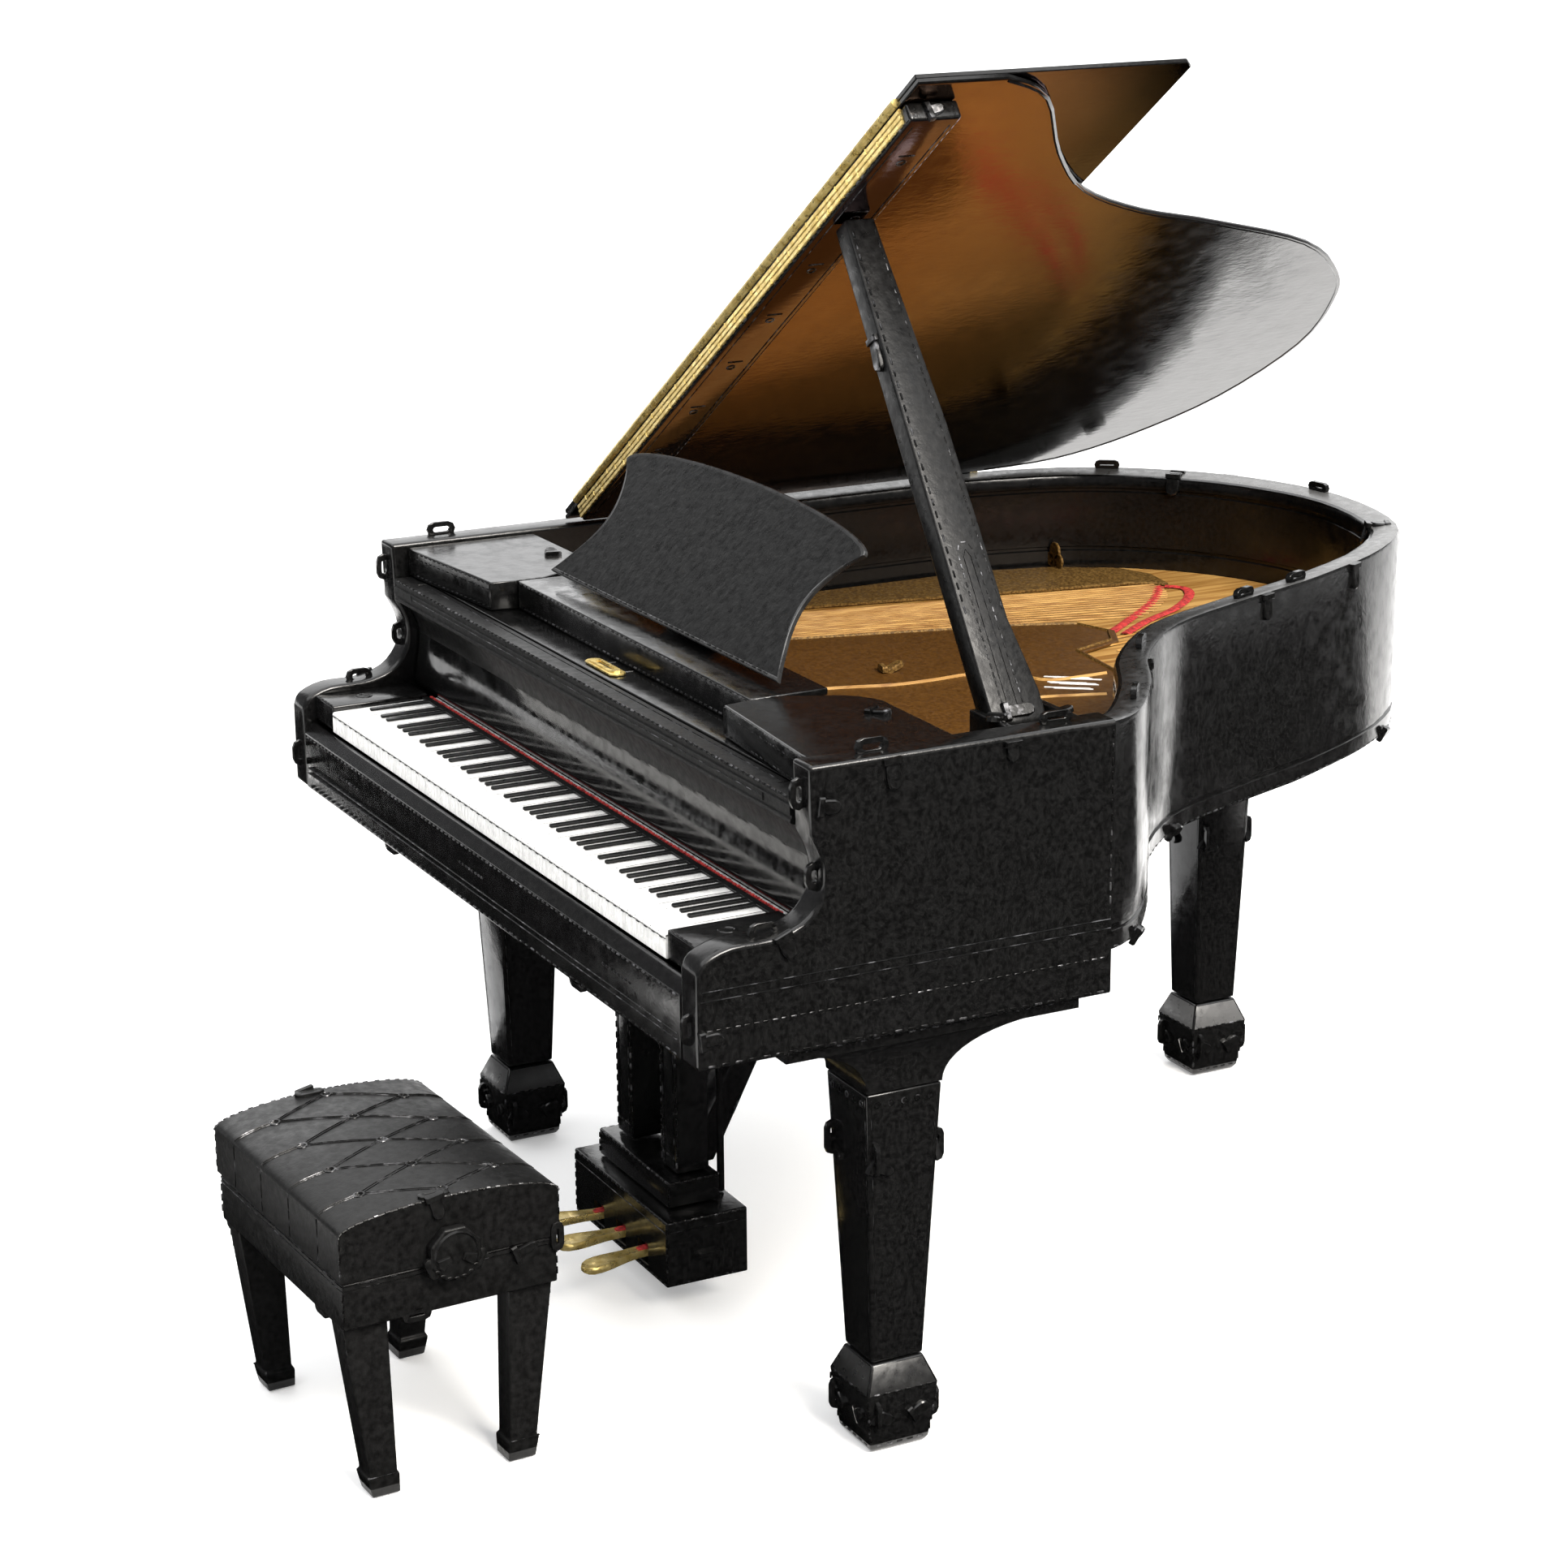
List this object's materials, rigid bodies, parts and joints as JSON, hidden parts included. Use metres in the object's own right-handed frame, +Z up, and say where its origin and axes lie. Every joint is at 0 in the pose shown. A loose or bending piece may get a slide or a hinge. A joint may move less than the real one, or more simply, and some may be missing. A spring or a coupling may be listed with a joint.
{
  "type": "miniature grand piano",
  "caption": "Folded sheet-metal miniature of a grand piano with opening lid on a prop, fold-back flap, music desk, fallboard, pedal lyre and a matching square bench.",
  "frame": {"origin": "middle of the footprint of the piano and its bench, on the floor", "axes": "+X towards the treble side, on the player's right; +Y from the bench and keyboard towards the tail; +Z up"},
  "size_m": [0.0706, 0.1, 0.0861],
  "materials": {
    "black_lacquer": "high-gloss black lacquer with fine orange peel over thin etched steel",
    "satin_black": "satin black coating with a fine pebbled texture",
    "gold": "pale gold, lightly brushed and etched",
    "bronze_plate": "glossy bronze-gold print with a fine metallic grain",
    "printed_wood": "honey-coloured wood print under clear gloss",
    "white_enamel": "smooth white enamel",
    "red_enamel": "matt red print that stands for felt"
  },
  "bodies": {
    "case": {"bentside_rim": "black_lacquer", "side_panel_right": "black_lacquer", "side_panel_left": "black_lacquer", "bottom_board": "black_lacquer", "keybed": "black_lacquer", "keyslip": "black_lacquer", "soundboard": "printed_wood", "belly_rail": "black_lacquer", "iron_plate_spine": "bronze_plate", "iron_plate_front": "bronze_plate", "treble_bridge": "printed_wood", "white_keys": "white_enamel", "black_keys": "satin_black", "key_felt": "red_enamel", "key_support": "black_lacquer", "cheek_block_left": "black_lacquer", "cheek_block_right": "black_lacquer", "fallboard_ledge": "black_lacquer", "lock_plate": "gold", "music_shelf": "black_lacquer", "shelf_block_right": "black_lacquer", "shelf_block_left": "black_lacquer", "lid_hinge_front": "gold", "lid_hinge_rear": "gold", "prop_bracket": "black_lacquer", "foot_front_left": "black_lacquer", "foot_front_right": "black_lacquer", "foot_rear": "black_lacquer", "leg_front_left": "black_lacquer", "leg_front_right": "black_lacquer", "leg_rear": "black_lacquer", "corbel_left": "black_lacquer", "corbel_right": "black_lacquer", "lyre_box": "black_lacquer", "lyre_step": "black_lacquer", "lyre_pillar_left": "black_lacquer", "lyre_pillar_right": "black_lacquer", "lyre_rod_left": "black_lacquer", "lyre_rod_right": "black_lacquer", "lyre_brace": "black_lacquer"},
    "lid": {"lid": "black_lacquer", "lid_beam": "black_lacquer", "lid_hinge_strip": "gold"},
    "lid_flap": {"lid_flap": "black_lacquer"},
    "lid_prop": {"lid_prop": "satin_black"},
    "fallboard": {"fallboard": "black_lacquer"},
    "music_desk": {"music_desk": "satin_black"},
    "desk_strut": {"desk_strut": "satin_black"},
    "pedal_left": {"pedal_left": "gold"},
    "pedal_middle": {"pedal_middle": "gold"},
    "pedal_right": {"pedal_right": "gold"},
    "bench": {"bench_frame": "black_lacquer", "bench_seat": "black_lacquer", "bench_leg_front_left": "black_lacquer", "bench_leg_rear_left": "black_lacquer", "bench_leg_front_right": "black_lacquer", "bench_leg_rear_right": "black_lacquer"},
    "bench_knob_left": {"bench_knob_left": "black_lacquer"},
    "bench_knob_right": {"bench_knob_right": "black_lacquer"}
  },
  "joints": [
    {"name": "lid_hinge", "type": "hinge", "parent": "case", "child": "lid", "pos_m": [-0.03472, 0.00974, 0.0481], "axis": [0, -1, 0], "range_deg": [0, 38]},
    {"name": "flap_hinge", "type": "hinge", "parent": "lid", "child": "lid_flap", "pos_m": [-0.03449, -0.00776, 0.04777], "axis": [0.8261, 0, 0.5635], "range_deg": [0, 180]},
    {"name": "prop_hinge", "type": "hinge", "parent": "case", "child": "lid_prop", "pos_m": [0.02883, -0.00486, 0.0466], "axis": [0, -1, 0], "range_deg": [0, 61]},
    {"name": "fallboard_hinge", "type": "hinge", "parent": "case", "child": "fallboard", "pos_m": [0.00028, -0.02091, 0.03705], "axis": [1, 0, 0], "range_deg": [0, 74]},
    {"name": "desk_hinge", "type": "hinge", "parent": "case", "child": "music_desk", "pos_m": [0.00028, -0.01606, 0.04785], "axis": [-1, 0, 0], "range_deg": [0, 42]},
    {"name": "desk_strut_hinge", "type": "hinge", "parent": "music_desk", "child": "desk_strut", "pos_m": [0.00028, -0.01423, 0.04944], "axis": [1, 0, 0], "range_deg": [0, 84]},
    {"name": "pedal_left_hinge", "type": "hinge", "parent": "case", "child": "pedal_left", "pos_m": [-0.00342, -0.01796, 0.00375], "axis": [1, 0, 0], "range_deg": [0, 5], "stiffness_Nm_per_rad": 0.00003, "springref_deg": -20.05},
    {"name": "pedal_middle_hinge", "type": "hinge", "parent": "case", "child": "pedal_middle", "pos_m": [0.00028, -0.01796, 0.00375], "axis": [1, 0, 0], "range_deg": [0, 5], "stiffness_Nm_per_rad": 0.00003, "springref_deg": -20.05},
    {"name": "pedal_right_hinge", "type": "hinge", "parent": "case", "child": "pedal_right", "pos_m": [0.00398, -0.01796, 0.00375], "axis": [1, 0, 0], "range_deg": [0, 5], "stiffness_Nm_per_rad": 0.00003, "springref_deg": -20.05},
    {"name": "bench_slide", "type": "slide", "parent": "case", "child": "bench", "axis": [0, 1, 0], "range_m": [-0.015, 0.004]},
    {"name": "bench_knob_left_spin", "type": "hinge", "parent": "bench", "child": "bench_knob_left", "pos_m": [0.0024, -0.04254, 0.01605], "axis": [0.9989, 0.0466, 0], "continuous": true},
    {"name": "bench_knob_right_spin", "type": "hinge", "parent": "bench", "child": "bench_knob_right", "pos_m": [0.02297, -0.04158, 0.01605], "axis": [0.9989, 0.0466, 0], "continuous": true}
  ],
  "couplings": [
    {"joint": "desk_strut_hinge", "follows": "desk_hinge", "ratio": 2}
  ]
}
